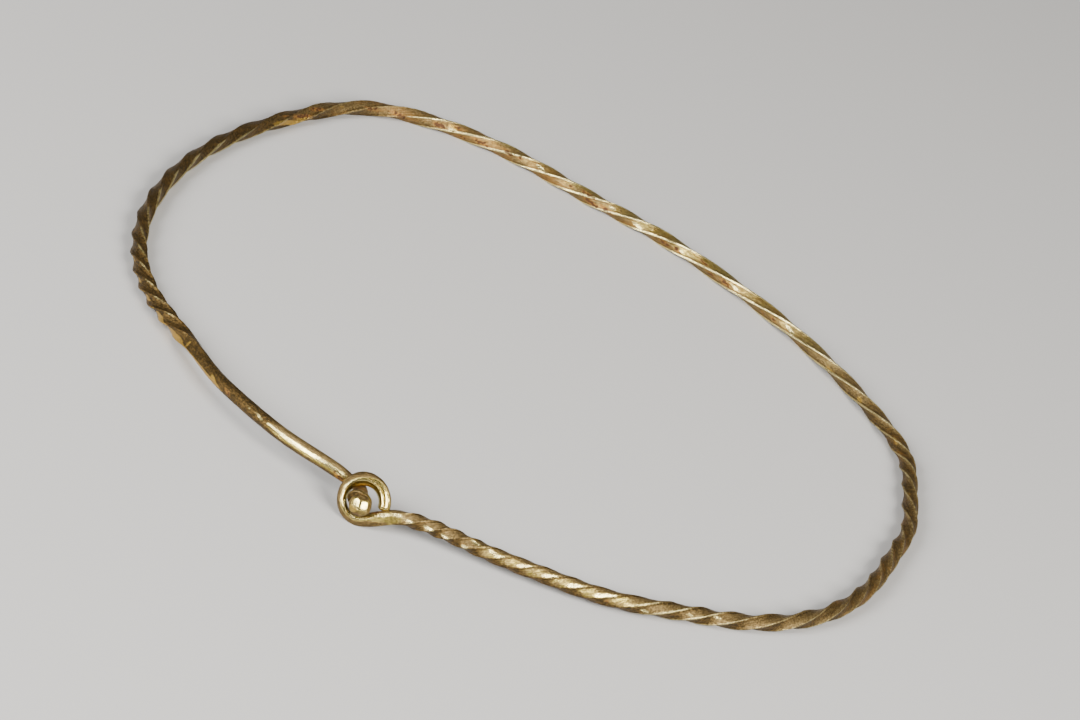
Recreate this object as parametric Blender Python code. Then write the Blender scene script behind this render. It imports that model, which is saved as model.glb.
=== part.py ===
"""Twisted gold torc: one square rod, twisted and bent into a hoop, with an eye and a knobbed hook.

The whole torc is one bar. It starts at the tip of the eye, runs round the eye, becomes the
twisted rod of the hoop, fades into a plain round shank, and ends in a hook that passes through
the eye from behind and carries a knob. Lengths are in millimetres until the mesh is made.
The torc lies on z = 0, with the eye towards -Y.
"""

import math

import bpy
import numpy as np

NAME = "torc"
METRE = 0.001
GOLD = (0.62, 0.46, 0.20, 1.0)

# The hoop: bearing from its middle in degrees, radius of the rod's centre line.
HOOP = (
    (-86, 77.4), (-78, 77.6), (-68, 78.7), (-58, 79.0), (-48, 81.2), (-36, 82.5), (-20, 80.5),
    (-12, 79.4), (-3, 79.4), (5, 78.5), (16, 78.2), (26, 75.0), (38, 71.5), (52, 69.0), (66, 68.0),
    (80, 69.0), (94, 71.4), (102, 75.6), (110, 80.0), (126, 85.6), (142, 82.0), (160, 79.3),
    (178, 79.0), (192, 79.8), (202, 80.0), (212, 78.8), (222, 77.2), (229, 78.0), (236, 78.5),
    (245, 79.2),
)
CLOSURE_BEARING = -102.0   # where the two ends meet
LIFT_SPAN = 55.0           # the ends spring up over this many degrees on each side
ROD_LIFT = 2.6
SHANK_LIFT = 4.2

# The middle of the bar stands half its width above its line along the rod, and this high elsewhere.
ROD_START, ROD_END = 6.0, 440.0
END_SEAT = 1.6
SEAT_BLEND = 9.0
REST_WEAR = 0.06           # the lowest crests are worn flat by this much

# The eye: a loop bent in one plane that holds the rod's line and leans back from upright.
EYE_CENTRE = (-17.4, -78.45, 2.46)
EYE_LEAN = 29.0
EYE_RADIUS = 3.76
EYE_TIP_RADIUS = 3.95
EYE_TIP_ANGLE = 4.5
EYE_TOP_ANGLE = 40.0       # from here on the loop is round
EYE_FOOT_ANGLE = 270.0
# Where the bar leaves the loop and swings into the rod's line: along, up the leaning plane.
SHOULDER = ((1.5, -3.22), (3.2, -2.3), (4.8, -1.35), (6.2, -0.6), (8.0, -0.05), (10.5, 0.35))
TWIST_START = 3            # the shoulder point from which lengths along the rod are counted

# The hook, from the eye's middle: along, up the leaning plane, out in front of it.
HOOK = (
    (-7.8, 3.05, -2.95), (-4.6, 2.4, -3.1), (-2.7, 1.90, -3.05), (-1.3, 1.55, -2.1),
    (-0.62, 1.08, -0.6), (-0.50, 0.30, 0.8),
)
KNOB_CENTRE = (-0.60, -1.10, 2.32)

# At lengths along the rod: half width in the hoop's or loop's plane, half depth across it, and
# how far the four ridges stand proud (0 is round, 1 is the full ridge).
GIRTH = (
    (-26.0, 1.10, 1.05, 0.45), (-22.0, 1.17, 1.15, 0.45), (-17.0, 1.30, 1.20, 0.35),
    (-11.5, 0.90, 1.15, 0.20), (-7.5, 0.95, 1.15, 0.15), (-5.2, 1.22, 1.15, 0.20),
    (-3.4, 1.38, 1.25, 0.30), (-1.2, 1.43, 1.35, 0.40), (1.0, 1.45, 1.45, 0.42),
    (6.0, 1.48, 1.48, 0.45), (15.0, 1.50, 1.50, 0.50), (30.0, 1.57, 1.57, 0.55),
    (45.0, 1.62, 1.62, 0.65), (60.0, 1.66, 1.66, 0.88), (110.0, 1.70, 1.70, 1.00),
    (141.0, 1.68, 1.68, 0.95), (160.0, 1.66, 1.66, 0.80), (180.0, 1.66, 1.66, 0.78),
    (205.0, 1.65, 1.65, 0.95), (225.0, 1.65, 1.65, 0.85), (257.0, 1.64, 1.64, 0.68),
    (270.0, 1.63, 1.63, 0.50), (290.0, 1.63, 1.63, 0.50), (308.0, 1.65, 1.65, 0.72),
    (330.0, 1.68, 1.68, 0.82), (345.0, 1.63, 1.63, 1.00), (355.0, 1.60, 1.60, 1.00),
    (400.0, 1.70, 1.70, 1.05), (428.0, 1.76, 1.76, 1.00),
    (434.0, 1.66, 1.62, 0.95), (439.0, 1.72, 1.50, 0.70), (444.5, 1.50, 1.38, 0.35),
    (450.0, 1.29, 1.29, 0.08), (456.0, 1.28, 1.28, 0.0), (474.0, 1.35, 1.35, 0.0),
    (481.0, 1.28, 1.28, 0.0), (484.5, 1.02, 1.02, 0.0), (490.0, 1.00, 1.00, 0.0),
)
RIDGES = 4
VALLEY_DEPTH = 0.34        # of the half width, where the ridges stand full
RIDGE_SHARPNESS = 1.5

# Lengths along the rod at which the ridges have made 1, 3, 5 ... quarter turns.
HALF_TURNS = (
    4.0, 11.5, 19.5, 29.0, 39.5, 53.5, 66.3, 83.2, 100.5, 116.0, 132.5, 148.5, 163.0, 182.5,
    208.2, 236.0, 255.0, 273.5, 294.8, 318.0, 341.5, 362.5, 381.8, 399.0, 411.6, 422.5, 433.5,
)
# Quarter turns made in the eye, and after the last half turn, where the twist fades.
TWIST_BEFORE = ((-26.0, 0.5), (-13.0, 0.0), (-8.5, 0.02), (-4.0, 0.18), (0.0, 0.25))
TWIST_AFTER = ((438.5, 53.5), (446.0, 53.6), (500.0, 53.6))

# The knob: distance from its middle along the hook, radius.
KNOB = (
    (-2.05, 1.15), (-1.75, 1.78), (-1.25, 2.15), (-0.65, 2.25), (-0.15, 2.16), (0.45, 2.05),
    (1.05, 1.80), (1.60, 1.32), (1.95, 0.75),
)
KNOB_DOME = 0.12           # how far the knob's face bulges past its last ring
EYE_TIP_DOME = 0.25
COLLAR_ROOM = 0.3          # the hook's last ring stands this far before the knob's first

SIDES = 16
STATIONS_PER_QUARTER = 4.4
SHORTEST_STEP = 0.85
LONGEST_STEP = 3.0
LOOP_STEP = 1.1
SHANK_START, SHANK_STEP = 445.0, 2.4
HOOK_START, HOOK_STEP = 474.0, 0.75
FINE_STEP = 0.1            # spacing of the line from which the stations are picked
EASING = 2.0               # the girths change over this length
SHARP_EDGE = math.radians(50.0)


def eye_directions():
    """Unit vectors of the eye's plane: along the rod, up the lean, and out of its front."""
    lean = math.radians(EYE_LEAN)
    along = np.array((1.0, 0.0, 0.0))
    up = np.array((0.0, math.sin(lean), math.cos(lean)))
    front = np.array((0.0, -math.cos(lean), math.sin(lean)))
    return along, up, front


def eye_point(a, b, out=0.0):
    """A point set out from the middle of the eye."""
    along, up, front = eye_directions()
    return np.array(EYE_CENTRE) + a * along + b * up + out * front


def polar_eye_point(angle, radius):
    """A point of the eye's plane, by its angle round the loop."""
    turn = math.radians(angle)
    return eye_point(radius * math.cos(turn), radius * math.sin(turn))


def loop_points():
    """The eye, from its tip, over the top and round to its foot."""
    points = []
    for share in (0.0, 1.0 / 3.0, 2.0 / 3.0):
        angle = EYE_TIP_ANGLE + (EYE_TOP_ANGLE - EYE_TIP_ANGLE) * share
        radius = EYE_TIP_RADIUS + (EYE_RADIUS - EYE_TIP_RADIUS) * share
        points.append(polar_eye_point(angle, radius))
    for angle in np.linspace(EYE_TOP_ANGLE, EYE_FOOT_ANGLE, 14):
        points.append(polar_eye_point(angle, EYE_RADIUS))
    return points


def hoop_point(bearing, radius):
    """A point of the hoop, lifted where it nears the closure."""
    away = abs((bearing - CLOSURE_BEARING + 180.0) % 360.0 - 180.0) / LIFT_SPAN
    most = SHANK_LIFT if bearing > 90.0 else ROD_LIFT
    lift = most * math.cos(0.5 * math.pi * away) ** 2 if away < 1.0 else 0.0
    turn = math.radians(bearing)
    return np.array((radius * math.cos(turn), radius * math.sin(turn), lift))


def smooth_line(points):
    """A natural cubic spline through the points, read off at short even steps."""
    points = np.array(points)
    knots = np.r_[0.0, np.cumsum(np.linalg.norm(np.diff(points, axis=0), axis=1))]
    gaps = np.diff(knots)
    count = len(points)
    matrix = np.eye(count)
    right = np.zeros((count, 3))
    for i in range(1, count - 1):
        matrix[i, i - 1:i + 2] = gaps[i - 1], 2.0 * (gaps[i - 1] + gaps[i]), gaps[i]
        slope_in = (points[i] - points[i - 1]) / gaps[i - 1]
        slope_out = (points[i + 1] - points[i]) / gaps[i]
        right[i] = 6.0 * (slope_out - slope_in)
    bend = np.linalg.solve(matrix, right)
    spots = np.arange(0.0, knots[-1], FINE_STEP)
    cell = np.clip(np.searchsorted(knots, spots, side="right") - 1, 0, count - 2)
    gap = gaps[cell][:, None]
    after = (spots - knots[cell])[:, None]
    before = gap - after
    line = (bend[cell] * before ** 3 + bend[cell + 1] * after ** 3) / (6.0 * gap)
    line += (points[cell] / gap - bend[cell] * gap / 6.0) * before
    line += (points[cell + 1] / gap - bend[cell + 1] * gap / 6.0) * after
    return line


def centre_line():
    """The line that the bar follows, and the length along the rod at each of its points."""
    points = loop_points()
    shoulder = [eye_point(a, b) for a, b in SHOULDER]
    start = shoulder[TWIST_START]
    points += shoulder
    points += [hoop_point(bearing, radius) for bearing, radius in HOOP]
    points += [eye_point(*place) for place in HOOK]
    points.append(eye_point(*KNOB_CENTRE))
    line = smooth_line(points)
    travel = np.r_[0.0, np.cumsum(np.linalg.norm(np.diff(line, axis=0), axis=1))]
    zero = np.argmin(np.linalg.norm(line - start, axis=1))
    return line, travel - travel[zero]


def eased(lengths, column):
    """One column of the girth table, read along the rod and rounded off over the easing length."""
    stops = np.array(GIRTH)
    values = np.interp(lengths, stops[:, 0], stops[:, column])
    half = int(round(0.5 * EASING / FINE_STEP))
    window = np.hanning(2 * half + 3)[1:-1]
    padded = np.pad(values, half, mode="edge")
    return np.convolve(padded, window / window.sum(), mode="valid")


def seats(lengths, width):
    """How high the bar's middle stands above its line."""
    stops = (ROD_START - SEAT_BLEND, ROD_START, ROD_END, ROD_END + SEAT_BLEND)
    first, last = np.interp((ROD_START, ROD_END), lengths, width)
    ends = np.interp(lengths, stops, (END_SEAT, first, last, END_SEAT))
    rod = (lengths > ROD_START) & (lengths < ROD_END)
    return np.where(rod, width, ends) - REST_WEAR


def quarter_turns(lengths):
    """The twist along the rod, as a smooth rising curve through its stops."""
    middle = tuple((length, 1.0 + 2.0 * k) for k, length in enumerate(HALF_TURNS))
    stops = np.array(TWIST_BEFORE + middle + TWIST_AFTER)
    place, turns = stops[:, 0], stops[:, 1]
    gaps = np.diff(place)
    rates = np.diff(turns) / gaps
    slopes = np.r_[rates[0], np.zeros(len(rates) - 1), rates[-1]]
    for i in range(1, len(rates)):
        if rates[i - 1] * rates[i] > 0.0:
            slopes[i] = 2.0 * rates[i - 1] * rates[i] / (rates[i - 1] + rates[i])
    cell = np.clip(np.searchsorted(place, lengths, side="right") - 1, 0, len(gaps) - 1)
    t = (lengths - place[cell]) / gaps[cell]
    rise = turns[cell + 1] - turns[cell]
    curve = turns[cell] + rise * t * t * (3.0 - 2.0 * t)
    curve += gaps[cell] * slopes[cell] * t * (1.0 - t) ** 2
    curve -= gaps[cell] * slopes[cell + 1] * t * t * (1.0 - t)
    return curve


def stations(lengths, turns):
    """Indices of the line's points at which the bar gets a cross-section, up to the knob."""
    rate = np.maximum(np.abs(np.gradient(turns, lengths)), 1e-6)
    step = np.clip(1.0 / (STATIONS_PER_QUARTER * rate), SHORTEST_STEP, LONGEST_STEP)
    step = np.where(lengths < 0.0, LOOP_STEP, step)
    step = np.where(lengths > SHANK_START, SHANK_STEP, step)
    step = np.where(lengths > HOOK_START, HOOK_STEP, step)
    passed = np.cumsum(FINE_STEP / step)
    picks = np.searchsorted(passed, passed[0] + np.arange(int(passed[-1])))
    knob_start = lengths[-1] + KNOB[0][0]
    return [int(i) for i in picks if lengths[i] < knob_start - COLLAR_ROOM]


def cross_section(width, depth, ridges, angle):
    """Points round the bar, as offsets across it and towards its front."""
    points = []
    for side in range(SIDES):
        turn = 2.0 * math.pi * side / SIDES
        crest = (0.5 + 0.5 * math.cos(RIDGES * turn)) ** RIDGE_SHARPNESS
        share = 1.0 - VALLEY_DEPTH * ridges * (1.0 - crest)
        x = share * width * math.cos(turn + angle)
        y = share * depth * math.sin(turn + angle)
        points.append((x, y))
    return points


def bar_rings():
    """Rings of points along the bar, in order, and the two end points that close it."""
    line, lengths = centre_line()
    width, depth, ridges = (eased(lengths, column) for column in (1, 2, 3))
    turns = quarter_turns(lengths)
    middles = line.copy()
    middles[:, 2] += seats(lengths, width)
    along = np.gradient(line, axis=0)
    along /= np.linalg.norm(along, axis=1)[:, None]
    front = eye_directions()[2]
    front = front - (along @ front)[:, None] * along
    front /= np.linalg.norm(front, axis=1)[:, None]
    across = np.cross(along, front)

    rings = []
    picks = stations(lengths, turns)
    for i in picks:
        angle = 0.5 * math.pi * (1.0 + turns[i])
        section = cross_section(width[i], depth[i], ridges[i], angle)
        rings.append([middles[i] + x * across[i] + y * front[i] for x, y in section])

    angle = 0.5 * math.pi * (1.0 + turns[-1])
    for place, radius in KNOB:
        centre = middles[-1] + place * along[-1]
        section = cross_section(radius, radius, 0.0, angle)
        rings.append([centre + x * across[-1] + y * front[-1] for x, y in section])
    tip = middles[picks[0]] - EYE_TIP_DOME * along[picks[0]]
    nose = middles[-1] + (KNOB[-1][0] + KNOB_DOME) * along[-1]
    return rings, tip, nose


def bar_mesh():
    """The closed skin of the bar: pairs of triangles between rings, and a fan over each end."""
    rings, tip, nose = bar_rings()
    points = [point for ring in rings for point in ring]
    faces = []
    for ring in range(len(rings) - 1):
        here, there = ring * SIDES, (ring + 1) * SIDES
        for side in range(SIDES):
            following = (side + 1) % SIDES
            faces.append((here + side, there + side, there + following))
            faces.append((here + side, there + following, here + following))
    first, last = len(points), len(points) + 1
    points += [tip, nose]
    end = (len(rings) - 1) * SIDES
    for side in range(SIDES):
        following = (side + 1) % SIDES
        faces.append((first, side, following))
        faces.append((last, end + following, end + side))

    placed = np.array(points)
    placed[:, 2] = np.maximum(placed[:, 2], 0.0)
    middle = 0.5 * (placed.min(axis=0) + placed.max(axis=0))
    placed[:, :2] -= middle[:2]
    mesh = bpy.data.meshes.new(NAME)
    mesh.from_pydata((placed * METRE).tolist(), [], faces)
    mesh.validate()
    mesh.shade_smooth()
    mesh.set_sharp_from_angle(angle=SHARP_EDGE)
    return mesh


def gold():
    material = bpy.data.materials.new("gold")
    material.use_nodes = True
    shader = material.node_tree.nodes["Principled BSDF"]
    shader.inputs["Base Color"].default_value = GOLD
    shader.inputs["Metallic"].default_value = 1.0
    shader.inputs["Roughness"].default_value = 0.35
    return material


def main():
    for old in list(bpy.data.objects):
        bpy.data.objects.remove(old)
    collection = bpy.data.collections.new("gold torc")
    bpy.context.scene.collection.children.link(collection)
    torc = bpy.data.objects.new(NAME, bar_mesh())
    torc.data.materials.append(gold())
    collection.objects.link(torc)


main()
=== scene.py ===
"""Looks of the twisted gold torc: the fine surface of its bar, its old gold, and a plain studio.

Lengths are in millimetres, as on the maker's drawing, and become metres where a mesh is made.
"""

import itertools
import math

import bpy
import numpy as np
from mathutils import Matrix, Vector


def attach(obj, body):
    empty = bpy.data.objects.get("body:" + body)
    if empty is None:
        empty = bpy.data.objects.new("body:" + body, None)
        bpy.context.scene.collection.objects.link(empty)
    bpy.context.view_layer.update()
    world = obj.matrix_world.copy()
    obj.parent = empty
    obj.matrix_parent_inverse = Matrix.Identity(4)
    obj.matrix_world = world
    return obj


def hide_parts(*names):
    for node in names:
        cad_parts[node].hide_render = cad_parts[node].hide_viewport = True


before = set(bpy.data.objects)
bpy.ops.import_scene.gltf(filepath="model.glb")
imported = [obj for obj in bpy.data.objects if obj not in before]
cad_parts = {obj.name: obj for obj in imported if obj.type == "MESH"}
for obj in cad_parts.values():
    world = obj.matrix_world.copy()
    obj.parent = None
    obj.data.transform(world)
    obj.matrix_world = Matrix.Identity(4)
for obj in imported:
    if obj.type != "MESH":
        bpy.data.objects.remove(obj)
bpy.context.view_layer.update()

METRE = 0.001

# ---------------------------------------------------------------------------
# The line of the bar, from the tip of the eye to the knob on the hook
# ---------------------------------------------------------------------------

FOOTPRINT_MIDDLE = (0.090, -3.152)   # of the whole torc, from the middle of its hoop

# The hoop: bearing from its middle in degrees, radius of the rod's centre line.
HOOP = (
    (-86, 77.4), (-78, 77.6), (-68, 78.7), (-58, 79.0), (-48, 81.2), (-36, 82.5), (-20, 80.5),
    (-12, 79.4), (-3, 79.4), (5, 78.5), (16, 78.2), (26, 75.0), (38, 71.5), (52, 69.0), (66, 68.0),
    (80, 69.0), (94, 71.4), (102, 75.6), (110, 80.0), (126, 85.6), (142, 82.0), (160, 79.3),
    (178, 79.0), (192, 79.8), (202, 80.0), (212, 78.8), (222, 77.2), (229, 78.0), (236, 78.5),
    (245, 79.2),
)
CLOSURE_BEARING = -102.0
LIFT_SPAN = 55.0
ROD_LIFT = 2.6
SHANK_LIFT = 4.2
ROD_START, ROD_END = 6.0, 440.0
END_SEAT = 1.6
SEAT_BLEND = 9.0
REST_WEAR = 0.06

# The eye, a loop that leans back from upright, and the shoulder where the bar leaves it.
EYE_CENTRE = (-17.4, -78.45, 2.46)
EYE_LEAN = 29.0
EYE_RADIUS = 3.76
EYE_TIP_RADIUS = 3.95
EYE_TIP_ANGLE = -5.0      # so far round that the tip meets the shoulder
EYE_TOP_ANGLE = 40.0
EYE_FOOT_ANGLE = 270.0
SHOULDER = ((1.5, -3.22), (3.2, -2.3), (4.8, -1.35), (6.2, -0.6), (8.0, -0.05), (10.5, 0.35))
TWIST_START = 3

# The hook, from the eye's middle: along, up the leaning plane, out in front of it.
HOOK = (
    (-7.8, 3.05, -2.95), (-4.6, 2.4, -3.1), (-2.7, 1.90, -3.05), (-1.3, 1.55, -2.1),
    (-0.62, 1.08, -0.6), (-0.50, 0.30, 0.8),
)
KNOB_CENTRE = (-0.60, -1.10, 2.32)

# Length along the rod, half width in the hoop's or loop's plane, half depth across it.
GIRTH = (
    (-26.0, 1.10, 1.05), (-22.0, 1.17, 1.15), (-17.0, 1.30, 1.20), (-11.5, 0.90, 1.15),
    (-7.5, 0.95, 1.15), (-5.2, 1.22, 1.15), (-3.4, 1.38, 1.25), (-1.2, 1.43, 1.35),
    (1.0, 1.46, 1.46), (6.0, 1.50, 1.50), (15.0, 1.53, 1.53), (25.0, 1.57, 1.57),
    (48.0, 1.65, 1.65), (110.0, 1.70, 1.70), (160.0, 1.67, 1.67), (225.0, 1.65, 1.65),
    (280.0, 1.64, 1.64), (330.0, 1.68, 1.68), (355.0, 1.60, 1.60), (400.0, 1.70, 1.70),
    (428.0, 1.76, 1.76), (434.0, 1.66, 1.62), (439.0, 1.72, 1.50), (444.5, 1.50, 1.38),
    (450.0, 1.29, 1.29), (456.0, 1.28, 1.28), (474.0, 1.35, 1.35), (481.0, 1.28, 1.28),
    (484.5, 1.02, 1.02), (490.0, 1.00, 1.00),
)

# Lengths along the rod at which the ridges have made 1, 3, 5 ... quarter turns.
HALF_TURNS = (
    4.0, 11.5, 19.5, 29.0, 39.5, 53.5, 66.3, 83.2, 100.5, 116.0, 132.5, 148.5, 163.0, 182.5,
    208.2, 236.0, 255.0, 273.5, 294.8, 318.0, 341.5, 362.5, 381.8, 399.0, 411.6, 422.5, 433.5,
)
TWIST_BEFORE = ((-26.0, 0.0), (-13.0, 0.0), (-8.0, 0.08), (-3.5, 0.22), (0.5, 0.30))
TWIST_AFTER = ((438.5, 53.5), (446.0, 53.6), (500.0, 53.6))

# Length along the rod, depth of the faces below the crests (of the half width), how flat the
# faces are (0 round, 1 flat), half width of a crest (of the way to the middle of a face), and
# how square its shoulders are.
RELIEF = (
    (-26.0, 0.06, 0.3, 0.50, 2.0), (-18.0, 0.08, 0.4, 0.45, 2.5), (-12.0, 0.10, 0.5, 0.45, 3.0),
    (-4.0, 0.09, 0.4, 0.50, 3.0), (0.0, 0.11, 0.4, 0.50, 2.5), (3.0, 0.20, 0.8, 0.44, 2.4),
    (14.5, 0.20, 0.8, 0.44, 2.4), (20.0, 0.11, 0.3, 0.55, 2.5), (42.0, 0.12, 0.3, 0.55, 2.5),
    (50.0, 0.17, 0.6, 0.42, 2.2),
    (62.0, 0.27, 0.8, 0.36, 2.0), (85.0, 0.30, 0.9, 0.36, 2.0), (110.0, 0.31, 0.9, 0.38, 2.0),
    (141.0, 0.30, 0.9, 0.36, 2.0), (160.0, 0.26, 0.9, 0.33, 2.0), (180.0, 0.25, 0.8, 0.30, 2.2),
    (205.0, 0.29, 0.8, 0.28, 2.4), (225.0, 0.27, 0.8, 0.28, 2.4), (245.0, 0.24, 0.8, 0.28, 2.4),
    (270.0, 0.19, 0.6, 0.28, 2.4), (290.0, 0.19, 0.6, 0.28, 2.4), (308.0, 0.24, 0.8, 0.30, 2.0),
    (330.0, 0.28, 0.9, 0.34, 3.0), (352.0, 0.25, 0.9, 0.36, 4.0), (374.0, 0.26, 0.9, 0.36, 4.0),
    (402.0, 0.35, 0.9, 0.36, 4.0), (428.0, 0.34, 0.9, 0.34, 3.0), (434.0, 0.32, 1.0, 0.30, 2.0),
    (439.0, 0.30, 1.0, 0.26, 2.0), (444.5, 0.16, 0.8, 0.30, 2.0), (450.0, 0.03, 0.2, 0.50, 2.0),
    (456.0, 0.00, 0.0, 0.50, 2.0), (500.0, 0.00, 0.0, 0.50, 2.0),
)

# The groove in the front of the eye's wire: length, angle from the front outwards, depth.
GROOVE = (
    (-27.0, -20.0, 0.50), (-23.0, -10.0, 0.50), (-20.0, 8.0, 0.40), (-17.0, 24.0, 0.0),
    (0.0, 24.0, 0.0),
)
GROOVE_WIDTH = 10.0        # degrees round the wire
TIP_ROUNDING = 0.55        # length over which the wire's end rounds off
TIP_NARROWING = 0.38       # the share of its radius that it loses there

# The knob: distance from its middle along the hook, radius. A collar, a fine groove, the dome.
KNOB = (
    (-2.05, 1.15), (-1.95, 1.65), (-1.75, 2.04), (-1.50, 2.26), (-1.20, 2.33), (-0.95, 2.28),
    (-0.80, 2.12), (-0.68, 1.90), (-0.50, 1.96), (0.10, 2.04), (0.60, 1.98), (1.05, 1.78),
    (1.45, 1.48), (1.72, 1.14), (1.90, 0.78), (2.00, 0.38),
)
KNOB_RINGS = 44
DOME_SHIFT = (0.56, 0.22)  # along and up the eye: the dome sits a little off the collar
SHIFT_START, SHIFT_LENGTH = -0.95, 0.45   # along the knob, where this shift comes in
DOME_START = -0.62         # the flats are cut from here on
FLAT_EDGE = 0.080          # roundness of the edges between them
# The dome is hammered into flats: the direction of each along, up and out of the eye, its distance,
# and how polished, darkened, browned and rubbed it is.
# The flats' darkening and ochre follow how each faced the lamps: painted shade on the flats turned up,
# down and to the sides, and a painted reflection on the lower left one.
KNOB_FLATS = (
    ((-0.36, -0.04, 0.93), 1.74, (1.2, 0.0, 0.0, 0.0)),
    ((0.31, 0.05, 0.95), 1.73, (1.2, 0.0, 0.0, 0.0)),
    ((0.00, 0.66, 0.75), 1.86, (0.30, 0.50, 0.30, 0.0)),
    ((-0.42, -0.56, 0.71), 1.80, (1.1, 0.0, 0.0, 0.55)),
    ((0.42, -0.62, 0.66), 1.86, (0.50, 0.35, 0.25, 0.0)),
    ((-0.90, 0.05, 0.43), 1.94, (0.35, 0.45, 0.40, 0.0)),
    ((0.88, 0.12, 0.46), 1.90, (0.45, 0.35, 0.30, 0.0)),
    ((0.0, -0.93, 0.36), 1.86, (0.30, 0.60, 0.40, 0.0)),
)
COLLAR_FINISH = (0.35, 0.65, 0.30, 0.0)
CREASE_FINISH = (0.00, 1.30, 0.30, 0.0)
CREASE = (-0.86, -0.45)    # the fine groove between the collar and the dome

# Flats rubbed along the bar: length, how far inwards from the front they face, depth, polish.
WORN_FLATS = (
    (15.0, 11.0, -0.30, 0.90), (19.0, 11.0, 0.10, 0.90), (26.0, 11.0, 0.15, 0.90),
    (42.0, 9.0, 0.15, 0.95), (47.5, 9.0, -0.20, 0.95), (457.0, 3.0, -0.12, 0.90),
    (466.5, 3.0, 0.05, 1.10), (482.0, 3.0, 0.07, 1.12), (486.0, 3.0, -0.30, 1.12),
)
WORN_EDGE = 0.018          # roundness of their edges

# Surface wear, and light and shade painted on the surface
# Lumps: height, size, and how far they are drawn out along the bar.
LUMPS = (
    (0.030, 1.6, (0.45, 1.0, 1.0)), (0.024, 0.8, (0.7, 1.0, 1.0)), (0.018, 0.45, (0.8, 0.8, 0.8)),
)
LUMPS_POLISHED_AWAY = 0.75
CREST_WEAR = 0.06
NICKS = 90                 # small dents along the crests
NICK_DEPTH = 0.10
PIT_DEPTH = 0.09
PATCH_SLANT = 0.18         # patches lie along the ridges, which lean across the bar
WEAR_RADIUS = 3.0          # the wear is laid out as if on a straight bar of this radius
CREST_FADE = 0.15          # where the faces are shallower than this, the crests count for less

# How the finish changes along the rod: length, amount.
POLISH = (
    (-26.0, 1.18), (-6.0, 1.18), (-3.0, 1.00), (0.5, 0.80), (3.0, 0.20), (14.0, 0.25), (19.0, 0.62),
    (44.0, 0.62), (48.0, 0.35), (60.0, 0.15), (80.0, 0.10), (100.0, 0.00), (160.0, 0.05),
    (180.0, 0.20), (198.0, 0.52), (236.0, 0.66), (250.0, 0.50), (270.0, 0.48), (285.0, 0.38),
    (300.0, 0.15), (330.0, 0.05), (440.0, 0.00), (461.5, 0.05), (465.0, 0.40), (468.0, 0.90),
    (474.0, 1.16), (483.0, 1.16), (486.0, 0.50), (492.0, 0.60),
)
CREST_SHINE = (
    (-26.0, 0.6), (-2.0, 0.6), (3.0, 0.32), (14.0, 0.32), (20.0, 0.30), (44.0, 0.40), (50.0, 0.60),
    (62.0, 0.55), (70.0, 0.45), (90.0, 0.50), (150.0, 0.50), (165.0, 0.55), (180.0, 0.65), (200.0, 0.9),
    (212.0, 1.0), (285.0, 1.0), (294.0, 0.62), (303.0, 0.40), (320.0, 0.42), (345.0, 0.52),
    (360.0, 0.74), (395.0, 0.74), (410.0, 0.58), (425.0, 0.55), (440.0, 0.3), (446.0, 0.1),
    (460.0, 0.0),
)
# How far the crests' shine keeps to the inner side of the hoop: wear there, and painted highlight.
INNER_SHINE = ((320.0, 0.0), (345.0, 0.8), (440.0, 0.8), (450.0, 0.0))
DARKENED = (
    (-26.0, 0.0), (0.0, 0.05), (3.0, 0.40), (15.0, 0.42), (20.0, 0.25), (44.0, 0.30), (50.0, 0.46),
    (80.0, 0.28), (95.0, 0.42), (158.0, 0.50), (176.0, 0.30), (195.0, 0.12), (290.0, 0.10),
    (310.0, 0.35), (335.0, 0.75), (360.0, 1.05), (395.0, 1.20), (410.0, 1.35), (463.5, 1.25), (466.0, 0.7),
    (468.5, 0.1), (484.0, 0.1), (487.0, 0.4), (489.0, 0.15),
)
BROWNED = (
    (-26.0, 0.10), (40.0, 0.15), (80.0, 0.16), (98.0, 0.42), (160.0, 0.40), (190.0, 0.20),
    (202.0, 0.50), (296.0, 0.54), (312.0, 0.40), (332.0, 0.40), (345.0, 0.32), (430.0, 0.30),
    (448.0, 0.05), (466.0, 0.05), (480.0, 0.20), (484.0, 0.70), (488.0, 0.70), (490.0, 0.2),
)
# Faces turned up and back, away from the front, made duller and darker: length, amount, how far it comes
# forward.
DULL_BACK = (
    (-26.0, 0.8, 0.0), (60.0, 0.8, 0.0), (120.0, 0.4, 0.0), (180.0, 0.0, 0.0), (310.0, 0.0, 0.0),
    (400.0, 0.8, 0.0), (462.0, 0.95, 0.9), (485.0, 0.95, 0.9), (492.0, 0.8, 0.5),
)
DULL_FACING = (0.0, 0.80, 0.60)
# Painted shade in the foot of the crests, on one side of each, at a share of the way from a crest to the
# middle of a face.
SEAM_SHADE = (
    (-2.0, 0.0), (4.0, 0.6), (16.0, 0.6), (22.0, 0.8), (42.0, 0.8), (48.0, 0.6), (330.0, 0.6),
    (350.0, 0.2), (440.0, 0.0),
)
SEAM_PLACE, SEAM_WIDTH = -0.36, 0.14
# Dirt and painted shade in the middle of the hollow faces.
HOLLOW_DIRT_AND_SHADE = (
    (50.0, 0.0), (70.0, 0.20), (90.0, 0.34), (140.0, 0.34), (160.0, 0.45), (185.0, 0.10),
    (300.0, 0.0),
)
# Painted reflection: ochre on the facets near the plain shank that face down and to the left, as if lit
# from low on that side: length, amount; the way they face; and where the bar's whole edge turns ochre as
# well.
OCHRE_REFLECTION = ((388.0, 0.0), (398.0, 0.4), (408.0, 1.0), (446.0, 1.0), (450.0, 0.4), (455.0, 0.0))
OCHRE_REFLECTION_FACING = (-0.58, -0.80, -0.13)
OCHRE_REFLECTION_EDGE_START = 427.0
# Painted shade on the faces turned to the ground.
UNDERSIDE_SHADE = (
    (-26.0, 0.60), (60.0, 0.70), (100.0, 0.50), (180.0, 0.22), (300.0, 0.22), (340.0, 0.50),
    (460.0, 0.60), (492.0, 0.70),
)
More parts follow.
